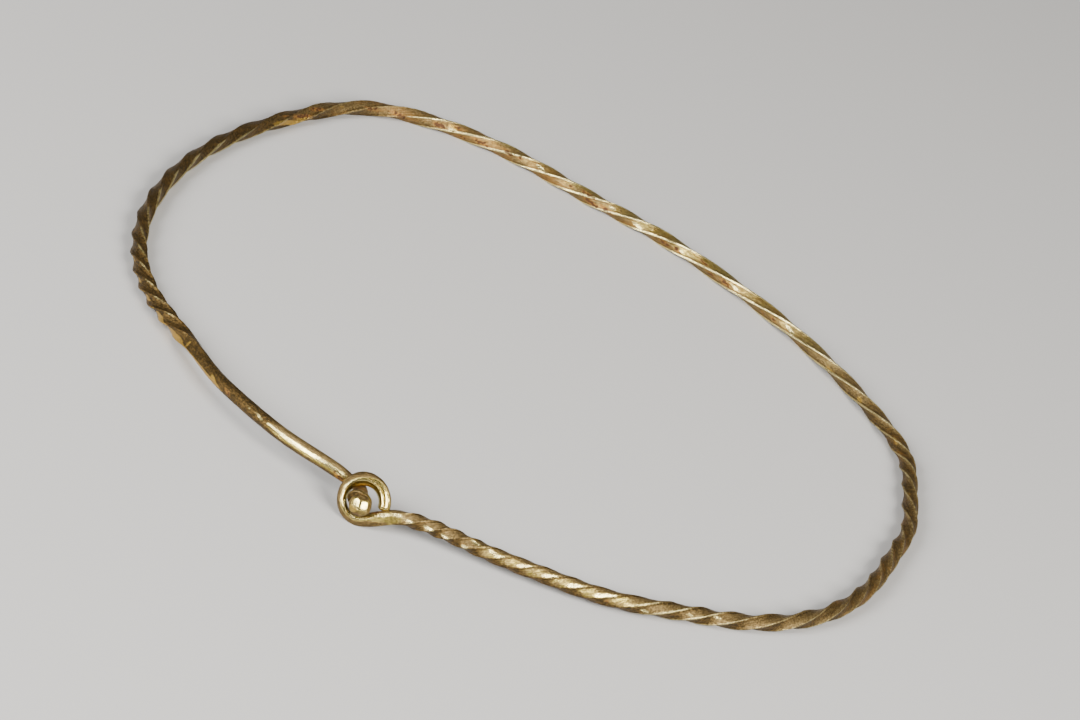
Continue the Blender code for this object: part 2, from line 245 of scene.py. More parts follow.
# How much the crests are rubbed to yellow instead of pale gold.
YELLOW_CRESTS = ((330.0, 0.0), (350.0, 0.35), (425.0, 0.35), (445.0, 0.0))
# How far out on the loop its dull rim begins: length, four times the share.
RIM = ((-27.0, 3.4), (-20.5, 3.0), (-17.5, 1.0), (-7.0, 0.9), (-3.0, 1.2), (0.0, 1.6))

# Corroded patches in the faces: length, degrees inwards from the front, half length and half
# width, amount.
# The first of them, on top of the shoulder under the eye, is painted shade.
PITTED_AND_SHADED = (
    (-3.0, 62.0, 1.2, 0.5, 0.9), (13.0, -28.0, 0.5, 0.4, 0.8), (40.5, -20.0, 0.8, 0.4, 0.7),
    (206.0, 32.0, 0.9, 0.5, 1.0), (209.0, 42.0, 0.7, 0.4, 0.8), (219.6, 28.0, 1.7, 0.55, 1.2),
    (223.5, 36.0, 1.8, 0.6, 0.7),
    (226.0, -14.0, 2.0, 0.5, 0.8), (232.3, 27.0, 0.9, 0.5, 1.1), (235.5, 34.0, 1.8, 0.6, 0.8),
    (250.0, 24.0, 1.9, 0.6, 1.0), (253.5, 38.0, 2.2, 0.6, 1.2), (254.8, -16.0, 1.9, 0.6, 1.2),
    (258.8, -8.0, 0.7, 0.4, 0.9), (271.5, -4.0, 1.0, 0.5, 0.7), (274.4, 4.0, 1.2, 0.6, 1.2),
    (280.0, 26.0, 3.0, 0.6, 0.9), (284.5, 42.0, 1.5, 0.5, 0.7), (286.0, -20.0, 1.2, 0.5, 0.9),
    (290.3, 14.0, 1.4, 0.6, 1.2), (299.0, 26.0, 3.5, 0.7, 0.8), (306.0, 12.0, 3.0, 0.7, 0.6),
    (321.3, -14.0, 2.2, 0.6, 1.1), (326.3, 24.0, 2.8, 0.6, 1.3), (331.3, -20.0, 0.9, 0.4, 0.9),
    (454.0, -24.0, 1.2, 0.5, 0.6), (481.5, -38.0, 1.6, 0.6, 0.8), (484.0, -20.0, 1.2, 0.5, 0.7),
)
# Spots polished pale where the bar glints, partly burnished by handling and partly painted highlight;
# written the same way.
BURNISHED_GLINTS = (
    (-15.0, -4.0, 1.8, 0.30, 0.9), (-12.5, 6.0, 1.8, 0.32, 0.9), (-10.2, 18.0, 1.6, 0.35, 1.0),
    (-8.0, 27.0, 1.6, 0.40, 1.0), (-5.0, 30.0, 1.5, 0.40, 1.0), (-2.2, 28.0, 1.8, 0.45, 1.1),
    (0.6, 18.0, 1.2, 0.40, 1.0), (2.7, -10.0, 1.1, 0.35, 1.0), (6.4, -16.0, 1.2, 0.35, 1.1),
    (9.6, -28.0, 1.0, 0.35, 1.1), (13.4, -34.0, 0.8, 0.35, 1.1), (15.0, 34.0, 1.1, 0.35, 1.0),
    (18.4, 20.0, 1.3, 0.40, 1.0), (48.0, -34.0, 1.2, 0.35, 0.9), (57.0, -8.0, 1.0, 0.30, 0.8),
    (62.5, 8.0, 1.0, 0.35, 1.0), (201.5, 4.0, 1.6, 0.50, 1.3), (217.0, 10.0, 1.2, 0.45, 1.2),
    (231.5, 14.0, 0.8, 0.40, 1.0), (242.5, 20.0, 1.4, 0.45, 1.2), (249.0, -16.0, 0.9, 0.40, 1.1),
    (266.5, -14.0, 1.2, 0.40, 1.2), (274.5, 12.0, 1.0, 0.35, 1.0), (287.0, 14.0, 1.2, 0.35, 1.2),
    (460.0, 2.0, 1.5, 0.30, 0.50), (463.0, 2.0, 1.5, 0.35, 0.68),
)
# Patches rubbed back to yellow gold, written the same way.
RUBBED = (
    (177.5, 20.0, 1.2, 0.7, 0.8), (188.0, 25.0, 2.0, 0.5, 0.6), (287.3, -14.0, 1.3, 0.5, 1.0),
    (314.0, -5.0, 1.0, 0.4, 0.5), (331.0, 50.0, 4.0, 0.7, 1.5), (325.0, 58.0, 3.0, 0.6, 1.2),
    (436.0, -40.0, 1.0, 0.5, 0.8), (438.3, -6.0, 0.35, 0.9, 1.0), (449.5, -25.0, 1.1, 0.5, 1.0),
    (143.0, 20.0, 1.6, 0.6, 0.5), (163.0, 5.0, 2.0, 0.5, 0.6),
)

FINE_STEP = 0.05
EASING = 2.0
SIDES_PER_FACE = 12
SIDES = 4 * SIDES_PER_FACE
CREST_CROWDING = 7.0       # degrees by which the points round the bar crowd to its crests
LOOP_STEP = 0.22
ROD_STEP = 0.285
SHANK_START, SHANK_STEP = 450.0, 0.32
HOOK_START, HOOK_STEP = 478.0, 0.20


def eye_directions():
    """Unit vectors of the eye's plane: along the rod, up the lean, and out of its front."""
    lean = math.radians(EYE_LEAN)
    along = np.array((1.0, 0.0, 0.0))
    up = np.array((0.0, math.sin(lean), math.cos(lean)))
    front = np.array((0.0, -math.cos(lean), math.sin(lean)))
    return along, up, front


def eye_point(a, b, out=0.0):
    """A point set out from the middle of the eye."""
    along, up, front = eye_directions()
    return np.array(EYE_CENTRE) + a * along + b * up + out * front


def polar_eye_point(angle, radius):
    """A point of the eye's plane, by its angle round the loop."""
    turn = math.radians(angle)
    return eye_point(radius * math.cos(turn), radius * math.sin(turn))


def loop_points():
    """The eye, from its tip, over the top and round to its foot."""
    points = []
    for share in (0.0, 1.0 / 3.0, 2.0 / 3.0):
        angle = EYE_TIP_ANGLE + (EYE_TOP_ANGLE - EYE_TIP_ANGLE) * share
        radius = EYE_TIP_RADIUS + (EYE_RADIUS - EYE_TIP_RADIUS) * share
        points.append(polar_eye_point(angle, radius))
    for angle in np.linspace(EYE_TOP_ANGLE, EYE_FOOT_ANGLE, 14):
        points.append(polar_eye_point(angle, EYE_RADIUS))
    return points


def hoop_point(bearing, radius):
    """A point of the hoop, lifted where it nears the closure."""
    away = abs((bearing - CLOSURE_BEARING + 180.0) % 360.0 - 180.0) / LIFT_SPAN
    most = SHANK_LIFT if bearing > 90.0 else ROD_LIFT
    lift = most * math.cos(0.5 * math.pi * away) ** 2 if away < 1.0 else 0.0
    turn = math.radians(bearing)
    return np.array((radius * math.cos(turn), radius * math.sin(turn), lift))


def smooth_line(points):
    """A natural cubic spline through the points, read off at short even steps."""
    points = np.array(points)
    knots = np.r_[0.0, np.cumsum(np.linalg.norm(np.diff(points, axis=0), axis=1))]
    gaps = np.diff(knots)
    count = len(points)
    matrix = np.eye(count)
    right = np.zeros((count, 3))
    for i in range(1, count - 1):
        matrix[i, i - 1:i + 2] = gaps[i - 1], 2.0 * (gaps[i - 1] + gaps[i]), gaps[i]
        slope_in = (points[i] - points[i - 1]) / gaps[i - 1]
        slope_out = (points[i + 1] - points[i]) / gaps[i]
        right[i] = 6.0 * (slope_out - slope_in)
    bend = np.linalg.solve(matrix, right)
    spots = np.arange(0.0, knots[-1], FINE_STEP)
    cell = np.clip(np.searchsorted(knots, spots, side="right") - 1, 0, count - 2)
    gap = gaps[cell][:, None]
    after = (spots - knots[cell])[:, None]
    before = gap - after
    line = (bend[cell] * before ** 3 + bend[cell + 1] * after ** 3) / (6.0 * gap)
    line += (points[cell] / gap - bend[cell] * gap / 6.0) * before
    line += (points[cell + 1] / gap - bend[cell + 1] * gap / 6.0) * after
    return line


def centre_line():
    """The line that the bar follows, and the length along the rod at each of its points."""
    points = loop_points()
    shoulder = [eye_point(a, b) for a, b in SHOULDER]
    start = shoulder[TWIST_START]
    points += shoulder
    points += [hoop_point(bearing, radius) for bearing, radius in HOOP]
    points += [eye_point(*place) for place in HOOK]
    points.append(eye_point(*KNOB_CENTRE))
    line = smooth_line(points)
    travel = np.r_[0.0, np.cumsum(np.linalg.norm(np.diff(line, axis=0), axis=1))]
    zero = np.argmin(np.linalg.norm(line - start, axis=1))
    return line, travel - travel[zero]


def eased(lengths, table, column):
    """One column of a table, read along the rod and rounded off over the easing length."""
    stops = np.array(table)
    values = np.interp(lengths, stops[:, 0], stops[:, column])
    half = int(round(0.5 * EASING / FINE_STEP))
    window = np.hanning(2 * half + 3)[1:-1]
    padded = np.pad(values, half, mode="edge")
    return np.convolve(padded, window / window.sum(), mode="valid")


def seats(lengths, width):
    """How high the bar's middle stands above its line."""
    stops = (ROD_START - SEAT_BLEND, ROD_START, ROD_END, ROD_END + SEAT_BLEND)
    first, last = np.interp((ROD_START, ROD_END), lengths, width)
    ends = np.interp(lengths, stops, (END_SEAT, first, last, END_SEAT))
    rod = (lengths > ROD_START) & (lengths < ROD_END)
    return np.where(rod, width, ends) - REST_WEAR


def quarter_turns(lengths):
    """The twist along the rod, as a smooth rising curve through its stops."""
    middle = tuple((length, 1.0 + 2.0 * k) for k, length in enumerate(HALF_TURNS))
    stops = np.array(TWIST_BEFORE + middle + TWIST_AFTER)
    place, turns = stops[:, 0], stops[:, 1]
    gaps = np.diff(place)
    rates = np.diff(turns) / gaps
    slopes = np.r_[rates[0], np.zeros(len(rates) - 1), rates[-1]]
    for i in range(1, len(rates)):
        if rates[i - 1] * rates[i] > 0.0:
            slopes[i] = 2.0 * rates[i - 1] * rates[i] / (rates[i - 1] + rates[i])
    cell = np.clip(np.searchsorted(place, lengths, side="right") - 1, 0, len(gaps) - 1)
    t = (lengths - place[cell]) / gaps[cell]
    rise = turns[cell + 1] - turns[cell]
    curve = turns[cell] + rise * t * t * (3.0 - 2.0 * t)
    curve += gaps[cell] * slopes[cell] * t * (1.0 - t) ** 2
    curve -= gaps[cell] * slopes[cell + 1] * t * t * (1.0 - t)
    return curve


# ---------------------------------------------------------------------------
# The surface of the bar: its wear, and the light and shade painted on it
# ---------------------------------------------------------------------------

def noise(points, size, seed):
    """Smooth noise between -1 and 1 at the points, with lumps of about the given size."""
    cells = 32
    lattice = np.random.default_rng(seed).uniform(-1.0, 1.0, (cells, cells, cells))
    spots = points / size
    low = np.floor(spots).astype(int)
    t = spots - low
    t = t * t * (3.0 - 2.0 * t)
    total = np.zeros(points.shape[:-1])
    for corner in itertools.product((0, 1), repeat=3):
        index = (low + corner) % cells
        weight = np.prod(np.where(np.array(corner) == 1, t, 1.0 - t), axis=-1)
        total += weight * lattice[index[..., 0], index[..., 1], index[..., 2]]
    return total


def side_turns():
    """Angles of the points round the bar, from a crest, in radians."""
    steps = np.arange(SIDES)
    crowding = math.radians(CREST_CROWDING)
    return 2.0 * math.pi * steps / SIDES - crowding * np.sin(2.0 * math.pi * steps / SIDES_PER_FACE)


def stations(lengths):
    """Indices of the line's points at which the bar gets a ring, up to the knob."""
    step = np.full(len(lengths), ROD_STEP)
    step = np.where(lengths < 0.0, LOOP_STEP, step)
    step = np.where(lengths > SHANK_START, SHANK_STEP, step)
    step = np.where(lengths > HOOK_START, HOOK_STEP, step)
    passed = np.cumsum(FINE_STEP / step)
    picks = np.searchsorted(passed, passed[0] + np.arange(int(passed[-1])))
    knob_start = lengths[-1] + KNOB[0][0]
    return np.array([i for i in picks if lengths[i] < knob_start - 0.1])


def relief(x, depth, flatness, crest_width, squareness):
    """Radius of the section as a share of its half width, and how much of it is crest.

    x runs from 0 on a crest to 1 in the middle of a face.
    """
    floor = 1.0 - depth
    body = floor / np.cos(math.pi / 4.0 * (1.0 - x) * flatness)
    at_crest = floor / np.cos(math.pi / 4.0 * flatness)
    crest = np.exp(-(x / crest_width) ** squareness)
    return np.minimum(body, 1.0) + np.maximum(1.0 - at_crest, 0.0) * crest, crest


def along_rod(length, table, column=1):
    """A column of a table of lengths and amounts, read at the given lengths."""
    stops = np.array(table)
    return np.interp(length, stops[:, 0], stops[:, column])


def nicks(bar, crest, length):
    """How deep the small dents along the crests are at each point."""
    draw = np.random.default_rng(11)
    total = np.zeros(bar.shape[:2])
    for _ in range(NICKS):
        place = draw.uniform(length[0], ROD_END)
        ridge = draw.integers(4) * math.pi / 2.0 + draw.normal(0.0, 0.12)
        size = draw.uniform(0.25, 0.7)
        deep = NICK_DEPTH * draw.uniform(0.3, 1.0)
        spot = np.array((place, WEAR_RADIUS * math.cos(ridge), WEAR_RADIUS * math.sin(ridge)))
        near = np.abs(length - place) < 3.0 * size
        gap = bar[near] - spot
        total[near] += deep * np.exp(-(gap ** 2).sum(axis=-1) / size ** 2)
    return total * np.clip(crest * 1.5, 0.0, 1.0)


def patches(table, length, angle, width):
    """How much of the listed patches there is at each point, with ragged edges."""
    total = np.zeros(angle.shape)
    for place, inwards, half_length, half_width, amount in table:
        away = (angle - math.radians(90.0 + inwards) + math.pi) % (2.0 * math.pi) - math.pi
        run = (length - place)[:, None]
        slant = away * width[:, None] + PATCH_SLANT * run
        near = (run / half_length) ** 2 + (slant / half_width) ** 2
        total = np.maximum(total, amount * np.exp(-near))
    return total


def facing(points, offset):
    """Unit vectors square to the surface at each point."""
    down = np.gradient(points, axis=0)
    round_bar = np.roll(points, -1, axis=1) - np.roll(points, 1, axis=1)
    normal = np.cross(down, round_bar)
    normal = normal * np.sign((normal * offset).sum(axis=-1))[..., None]
    return normal / np.maximum(np.linalg.norm(normal, axis=-1), 1e-9)[..., None]


def pits(bar, pitted_and_shaded):
    """How deep the corroded pits are at each point."""
    holes = np.clip(noise(bar * (1.0, 0.6, 0.6), 0.40, 22) * 2.6, 0.0, 1.0)
    return PIT_DEPTH * np.clip(pitted_and_shaded * 1.4 - 0.2, 0.0, 1.0) * holes


def worn_flats(length, angle, width, radius):
    """The radius with the polished flats taken off, and how much each point lies on one."""
    away = angle - np.radians(90.0 + along_rod(length, WORN_FLATS, 1))[:, None]
    lean = np.cos(away)
    proud = radius * lean - (width - along_rod(length, WORN_FLATS, 2))[:, None]
    cut = WORN_EDGE * np.logaddexp(0.0, proud / WORN_EDGE)
    return radius - cut / np.maximum(lean, 0.5), np.clip(proud / 0.04 + 0.3, 0.0, 1.0)


def eye_groove(length, angle):
    """How deep the groove in the front of the eye's wire is at each point."""
    centre = np.radians(90.0 - along_rod(length, GROOVE, 1))[:, None]
    away = (angle - centre + math.pi) % (2.0 * math.pi) - math.pi
    width = math.radians(GROOVE_WIDTH)
    return along_rod(length, GROOVE, 2)[:, None] * np.exp(-(away / width) ** 2)


def bar_spine():
    """The bar's middle line, its directions, lengths and twist, and where its rings stand."""
    line, lengths = centre_line()
    middles = line.copy()
    middles[:, 2] += seats(lengths, eased(lengths, GIRTH, 1))
    along = np.gradient(line, axis=0)
    along /= np.linalg.norm(along, axis=1)[:, None]
    front = eye_directions()[2]
    front = front - (along @ front)[:, None] * along
    front /= np.linalg.norm(front, axis=1)[:, None]
    across = np.cross(along, front)
    return middles, along, across, front, lengths, quarter_turns(lengths), stations(lengths)


def lumpy(radius, bar, length, crest):
    """The radius with its lumps, and its crests lowered by wear."""
    lumpiness = 1.0 - LUMPS_POLISHED_AWAY * np.clip(along_rod(length, POLISH), 0.0, 1.0)[:, None]
    for height, size, stretch in LUMPS:
        radius = radius + height * lumpiness * noise(bar * stretch, size, len(LUMPS) + int(10 * size))
    return radius - CREST_WEAR * (0.5 + 0.5 * noise(bar * (0.5, 1.0, 1.0), 1.8, 5)) * crest


def rounded_tip(length):
    """The share of the radius that is left as the wire's end rounds off."""
    from_tip = np.clip((length - length[0]) / TIP_ROUNDING, 0.0, 1.0)
    return (1.0 - TIP_NARROWING + TIP_NARROWING * np.sqrt(1.0 - (1.0 - from_tip) ** 2))[:, None]


def painted_ochre_reflection(length, angle, normal):
    """How much painted ochre reflection the facets and the outer edge near the plain shank get."""
    outer = np.cos(angle)
    facets = np.clip((normal @ OCHRE_REFLECTION_FACING - 0.84) * 9.0, 0.0, 1.0) * np.clip(outer * 6.0 - 2.6, 0.0, 1.0)
    edge = np.clip(outer * 7.0 - 4.2, 0.0, 1.0) * (length > OCHRE_REFLECTION_EDGE_START)[:, None]
    return along_rod(length, OCHRE_REFLECTION)[:, None] * (facets + edge)


def eye_rim(length, middles, offset):
    """How much each point belongs to the eye, and to its dull outer rim."""
    radial = middles - eye_point(0.0, 0.0)
    radial = radial / np.linalg.norm(radial, axis=1)[:, None]
    outwards = (offset * radial[:, None, :]).sum(axis=-1) / np.linalg.norm(offset, axis=-1)
    in_eye = np.clip((0.5 - length) / 2.0, 0.0, 1.0)[:, None]
    return in_eye, in_eye * np.clip(outwards * 4.0 - along_rod(length, RIM)[:, None], 0.0, 1.0)


def seam_shade_and_hollows(length, side, x):
    """The painted shade in the foot of the crests, and the dirt and painted shade in the middle of the
    hollow faces.
    """
    beside = ((side / (math.pi / 2.0) + 0.5) % 1.0 - 0.5) * 2.0
    seam_shade = np.exp(-((beside - SEAM_PLACE) / SEAM_WIDTH) ** 2) * along_rod(length, SEAM_SHADE)[:, None]
    return seam_shade, np.clip(1.8 * x - 0.6, 0.0, 1.0) * along_rod(length, HOLLOW_DIRT_AND_SHADE)[:, None]


def bar_looks(length, side, angle, width, crest, flat, points, offset, middles):
    """What the finish needs to know at each point of the bar."""
    normal = facing(points, offset)
    x = np.abs((side / (math.pi / 2.0) + 0.5) % 1.0 - 0.5) * 2.0
    seam_shade, hollow = seam_shade_and_hollows(length, side, x)
    in_eye, rim = eye_rim(length, middles, offset)
    # Faces turned to the ground: painted shade, darker and less polished there.
    under = np.clip((0.36 - normal[..., 2]) / 0.6, 0.0, 1.0) * (1.0 - in_eye)
    behind = normal @ DULL_FACING * 2.0 + along_rod(length, DULL_BACK, 2)[:, None]
    behind = np.clip(behind, 0.0, 1.0) * along_rod(length, DULL_BACK)[:, None]
    inner = np.clip(0.2 - 3.0 * np.cos(angle), 0.0, 1.0)
    inner = 1.0 - along_rod(length, INNER_SHINE)[:, None] * (1.0 - inner)
    # Less polish on the faces turned up and back, on the eye's rim, and on the faces turned to the ground,
    # where it is painted shade.
    dulling = (1.0 - behind) * (1.0 - 0.9 * rim) * (1.0 - 0.7 * under)

    # The painted shade in the foot of the crests also breaks up the flats and the polish.
    flat = flat * (1.0 - np.clip(1.3 * seam_shade, 0.0, 1.0))
    flat_polish = along_rod(length, WORN_FLATS, 3)[:, None] * flat
    polish = along_rod(length, POLISH)[:, None] * (1.0 - 0.8 * seam_shade)
    # Burnished spots and painted glints, and the flats.
    burnish_and_glint = np.maximum(patches(BURNISHED_GLINTS, length, angle, width), 0.8 * flat)
    shine = along_rod(length, CREST_SHINE)[:, None]
    yellow = crest * inner * along_rod(length, YELLOW_CRESTS)[:, None]
    underside_shade = along_rod(length, UNDERSIDE_SHADE)[:, None] * under
    # Patches rubbed back to yellow, with the painted ochre reflection added.
    rubbed_and_reflected = patches(RUBBED, length, angle, width) + painted_ochre_reflection(length, angle, normal)
    return {
        # Crests: shine from wear, and the painted glints.
        "crest": np.maximum(crest * shine * inner * (1.0 - 0.5 * behind), burnish_and_glint),
        "polish": np.maximum(polish * dulling, np.maximum(0.9 * burnish_and_glint, flat_polish)),
        # Darkened: the film, the eye's rim, painted shade on the underside and in the foot of the crests,
        # and dirt and painted shade in the hollows.
        "darkened": along_rod(length, DARKENED)[:, None] + 0.55 * rim + underside_shade + seam_shade + hollow,
        "browned": along_rod(length, BROWNED)[:, None] + 0.0 * side,
        "pitted_and_shaded": patches(PITTED_AND_SHADED, length, angle, width),
        "rubbed_and_reflected": rubbed_and_reflected + yellow,
    }


def bar_surface():
    """Rings of points along the bar with what the finish needs to know at each of them."""
    spine = bar_spine()
    middles, _, across, front, lengths, turns, picks = spine
    length, middles = lengths[picks], middles[picks]
    width, depth = eased(lengths, GIRTH, 1)[picks], eased(lengths, GIRTH, 2)[picks]
    shape = [eased(lengths, RELIEF, column)[picks][:, None] for column in (1, 2, 3, 4)]

    side = side_turns()[None, :]
    x = np.abs((side / (math.pi / 2.0) + 0.5) % 1.0 - 0.5) * 2.0
    share, crest = relief(x, *shape)
    crest = crest * np.clip(shape[0] / CREST_FADE, 0.0, 1.0)
    place = length[:, None] + 0.0 * side
    round_bar = [WEAR_RADIUS * turn(side) + 0.0 * place for turn in (np.cos, np.sin)]
    bar = np.stack([place, *round_bar], -1)

    angle = 0.5 * math.pi * (1.0 + turns[picks])[:, None] + side
    radius = lumpy(share * width[:, None], bar, length, crest)
    radius = radius - nicks(bar, crest, length)
    radius, flat = worn_flats(length, angle, width, radius)
    radius = radius - pits(bar, patches(PITTED_AND_SHADED, length, angle, width))
    radius = (radius - eye_groove(length, angle)) * rounded_tip(length)
    ratio = (depth / width)[:, None]
    offset = (radius * np.cos(angle))[..., None] * across[picks][:, None, :]
    offset = offset + (radius * ratio * np.sin(angle))[..., None] * front[picks][:, None, :]
    points = middles[:, None, :] + offset
    looks = bar_looks(length, side, angle, width, crest, flat, points, offset, middles)
    return points, bar, looks, spine


def knob_surface(spine):
    """Rings of the knob at the end of the hook, with the flats cut into its face."""
    middles, along, across, front, lengths, turns = spine[:6]
    profile = np.array(KNOB)
    travel = np.r_[0.0, np.cumsum(np.linalg.norm(np.diff(profile, axis=0), axis=1))]
    spots = np.linspace(0.0, travel[-1], KNOB_RINGS)
    place = np.interp(spots, travel, profile[:, 0])
    radius = np.interp(spots, travel, profile[:, 1])
    angle = 0.5 * math.pi * (1.0 + turns[-1]) + side_turns()[None, :]
    rel = place[:, None, None] * along[-1]
    rel = rel + (radius[:, None] * np.cos(angle))[..., None] * across[-1]
    rel = rel + (radius[:, None] * np.sin(angle))[..., None] * front[-1]
    axes = np.array(eye_directions())
    normals = []
    for direction, distance, _ in KNOB_FLATS:
        normal = np.array(direction) @ axes
        normal = normal / np.linalg.norm(normal)
        normals.append(normal)
        beyond = FLAT_EDGE * np.logaddexp(0.0, (rel @ normal - distance) / FLAT_EDGE)
        beyond = beyond * (place > DOME_START)[:, None]
        rel = rel - beyond[..., None] * normal
    cuts = [rel @ normal - cut[1] for normal, cut in zip(normals, KNOB_FLATS)]
    finish = np.array([cut[2] for cut in KNOB_FLATS])[np.argmax(cuts, axis=0)]
    finish[place <= DOME_START] = COLLAR_FINISH
    finish[(place > CREASE[0]) & (place < CREASE[1])] = CREASE_FINISH
    shift = np.clip((place - SHIFT_START) / SHIFT_LENGTH, 0.0, 1.0)[:, None, None]
    rel = rel + shift * (DOME_SHIFT[0] * axes[0] + DOME_SHIFT[1] * axes[1])
    bar = np.stack([lengths[-1] + place[:, None] + 0.0 * angle,
                    radius[:, None] * np.cos(angle), radius[:, None] * np.sin(angle)], -1)
    looks = {"crest": 0.0 * finish[..., 0], "pitted_and_shaded": 0.0 * finish[..., 0]}
    for column, name in enumerate(("polish", "darkened", "browned", "rubbed_and_reflected")):
        looks[name] = finish[..., column]
    return middles[-1] + rel, bar, looks


def skin(rings):
    """Quads between the rings and a fan over each end."""
    count = len(rings)
    here = np.arange((count - 1) * SIDES).reshape(count - 1, SIDES)
    beside = np.roll(here, -1, axis=1)
    quads = np.stack([here, here + SIDES, beside + SIDES, beside], -1).reshape(-1, 4)
    first, last = count * SIDES, count * SIDES + 1
    end = (count - 1) * SIDES
    fans = []
    for side in range(SIDES):
        following = (side + 1) % SIDES
        fans.append((first, side, following))
        fans.append((last, end + following, end + side))
    return [tuple(quad) for quad in quads.tolist()] + fans


def torc_piece():
    """The whole bar as one closed piece, carrying its place along the bar, its wear, and its painted light
    and shade.
    """
    body, body_bar, body_looks, spine = bar_surface()
    knob, knob_bar, knob_looks = knob_surface(spine)
    rings = np.concatenate([body, knob])
    bar = np.concatenate([body_bar, knob_bar])
    along, picks = spine[1], spine[6]
    tip = body[0].mean(axis=0) - 0.10 * along[picks[0]]
    nose = knob[-1].mean(axis=0) + 0.02 * along[-1]
    points = np.concatenate([rings.reshape(-1, 3), [tip, nose]])
    points[:, 2] = np.maximum(points[:, 2], 0.0)
    points[:, :2] -= FOOTPRINT_MIDDLE
    mesh = bpy.data.meshes.new("twisted_bar")
    mesh.from_pydata((points * METRE).tolist(), [], skin(rings))
    mesh.validate()
    mesh.shade_smooth()
    ends = [bar[0].mean(axis=0), bar[-1].mean(axis=0)]
    place = mesh.attributes.new("bar", "FLOAT_VECTOR", "POINT")
    place.data.foreach_set("vector", np.concatenate([bar.reshape(-1, 3), ends]).ravel())
    for name, values in body_looks.items():
        amounts = np.concatenate([values, knob_looks[name]])
        look = mesh.attributes.new(name, "FLOAT", "POINT")
        look.data.foreach_set("value", np.r_[amounts.ravel(), amounts[0, 0], amounts[-1, 0]])
    piece = bpy.data.objects.new("twisted_bar", mesh)
    bpy.context.scene.collection.objects.link(piece)
    return piece


# ---------------------------------------------------------------------------
# Finishes
# ---------------------------------------------------------------------------

class Value:
    """A number that varies over a surface; arithmetic on it adds the nodes that work it out."""

    def __init__(self, finish, socket):
        self.finish = finish
        self.socket = socket

    def __add__(self, other):
        return self.finish.maths("ADD", self, other)

    def __radd__(self, other):
        return self.finish.maths("ADD", other, self)

    def __sub__(self, other):
        return self.finish.maths("SUBTRACT", self, other)

    def __rsub__(self, other):
        return self.finish.maths("SUBTRACT", other, self)

    def __mul__(self, other):
        return self.finish.maths("MULTIPLY", self, other)

    def __rmul__(self, other):
        return self.finish.maths("MULTIPLY", other, self)

    def __truediv__(self, other):
        return self.finish.maths("DIVIDE", self, other)

    def __pow__(self, other):
        return self.finish.maths("POWER", self, other)

    def between(self, low, high):
        """0 below low, 1 above high, and a smooth rise between them."""
        settings = {"interpolation_type": "SMOOTHSTEP"}
        return self.finish.node("MapRange", settings, {0: self, 1: low, 2: high, 3: 0.0, 4: 1.0})


class Finish:
    """A material in the making."""

    def __init__(self, name):
        self.material = bpy.data.materials.new(name)
        self.material.use_nodes = True
        self.tree = self.material.node_tree
        self.shader = self.tree.nodes["Principled BSDF"]

    def feed(self, socket, value):
        """Links a varying value to a socket, or sets the socket to a plain one."""
        if isinstance(value, Value):
            self.tree.links.new(value.socket, socket)
        else:
            socket.default_value = value

    def node(self, kind, settings=None, inputs=None, output=0):
        """Adds one node: its settings first, then the values or links of its sockets."""
        node = self.tree.nodes.new("ShaderNode" + kind)
        for name, value in (settings or {}).items():
            setattr(node, name, value)
        for key, value in (inputs or {}).items():
            self.feed(node.inputs[key], value)
        return Value(self, node.outputs[output])

    def maths(self, operation, first, second):
        return self.node("Math", {"operation": operation}, {0: first, 1: second})

    def stretched(self, vector, scale):
        """A place vector multiplied by a scale for each of its directions."""
        return self.node("VectorMath", {"operation": "MULTIPLY"}, {0: vector, 1: scale})

    def blotches(self, vector, size, detail=2.0, roughness=0.5):
        """Noise from 0 to 1 with blotches of about the given size."""
        inputs = {"Vector": vector, "Scale": 1.0 / size, "Detail": detail, "Roughness": roughness}
        return self.node("TexNoise", {}, inputs)

    def blend(self, share, first, second):
        """A colour between two colours."""
        settings = {"data_type": "RGBA"}
        return self.node("Mix", settings, {0: share, 6: first, 7: second}, output=2)

    def set(self, **values):
        """Sets the shader's own sockets, by name with underscores for spaces."""
        for name, value in values.items():
            self.feed(self.shader.inputs[name.replace("_", " ")], value)


GOLD = (0.470, 0.360, 0.095, 1.0)
OLIVE_GOLD = (0.250, 0.195, 0.042, 1.0)
PALE_GOLD = (0.840, 0.710, 0.310, 1.0)
TAN = (0.130, 0.084, 0.030, 1.0)
LIGHT_TAN = (0.260, 0.180, 0.070, 1.0)
KHAKI = (0.036, 0.022, 0.005, 1.0)
UMBER = (0.126, 0.071, 0.018, 1.0)
DARK_BROWN = (0.060, 0.020, 0.005, 1.0)
RUST = (0.345, 0.165, 0.036, 1.0)
OCHRE_GOLD = (0.600, 0.370, 0.070, 1.0)
GRAIN_STRENGTH = 0.9
GRAIN_HEIGHT = 0.00014     # of the finest roughness, in metres


